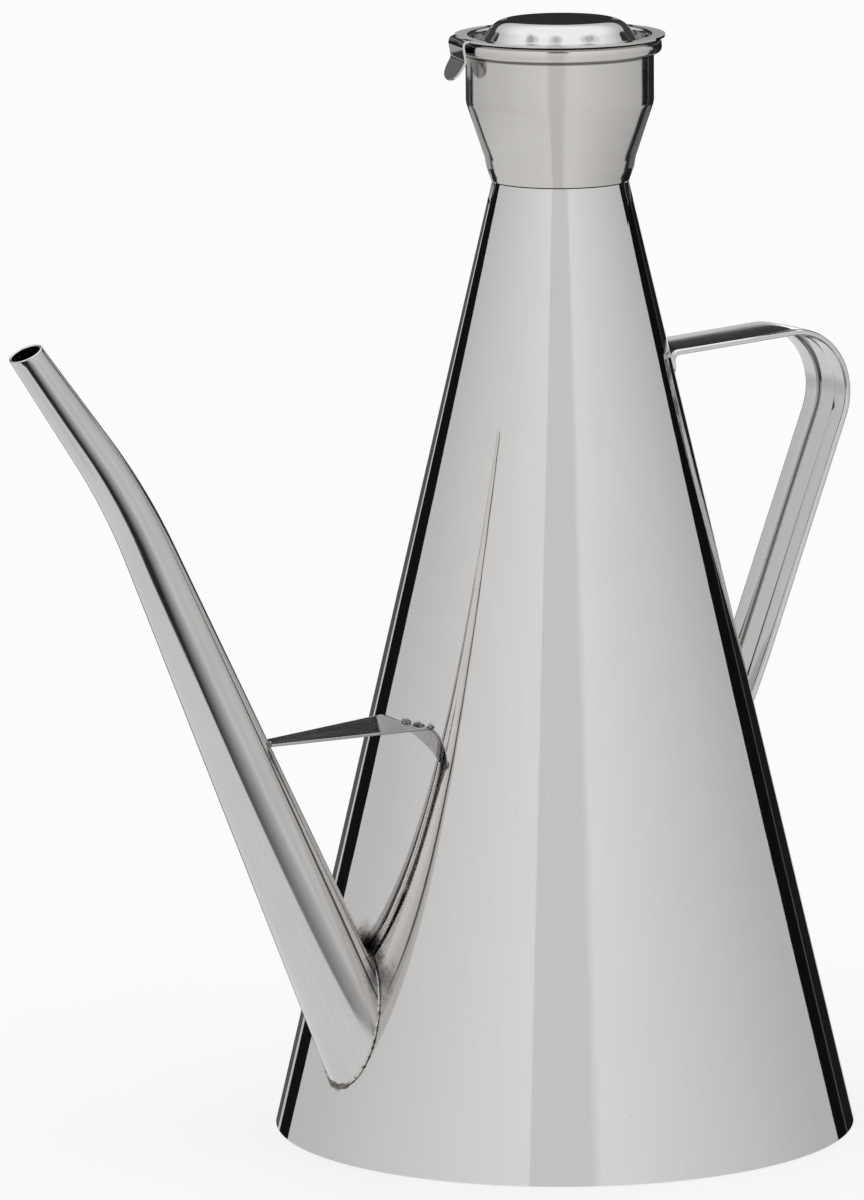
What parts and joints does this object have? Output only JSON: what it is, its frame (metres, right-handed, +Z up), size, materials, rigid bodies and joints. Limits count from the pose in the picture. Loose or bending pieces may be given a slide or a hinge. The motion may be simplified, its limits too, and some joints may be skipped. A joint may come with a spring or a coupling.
{
  "type": "oil cruet",
  "caption": "Cone-shaped sheet steel cruet with a long tapering spout braced to the body, a hemmed strip handle, a flared collar and a lift-off pressed lid with a thumb tab",
  "frame": {"origin": "Centre of the base, on the surface the cruet stands on", "axes": "+Z is up along the axis of the cone, -X points to the spout, +X to the handle, and -Y is the side the picture shows most of"},
  "size_m": [0.2091, 0.125, 0.2394],
  "materials": {
    "polished_steel": "mirror polished stainless steel sheet",
    "satin_steel": "stainless steel with a fine satin brushing along its length",
    "weld_steel": "rough weld metal, partly heat darkened"
  },
  "bodies": {
    "cruet": {"body_cone": "polished_steel", "base_plate": "polished_steel", "collar": "polished_steel", "spout_tube": "satin_steel", "spout_root_weld": "weld_steel", "spout_bridge": "satin_steel", "bridge_body_tack_1": "weld_steel", "bridge_body_tack_2": "weld_steel", "bridge_body_tack_3": "weld_steel", "bridge_spout_tack": "weld_steel", "handle_strip": "polished_steel"},
    "lid": {"lid": "polished_steel"}
  },
  "joints": [
    {"name": "lid_lift", "type": "slide", "parent": "cruet", "child": "lid", "axis": [0, 0, 1], "range_m": [0, 0.03]}
  ]
}
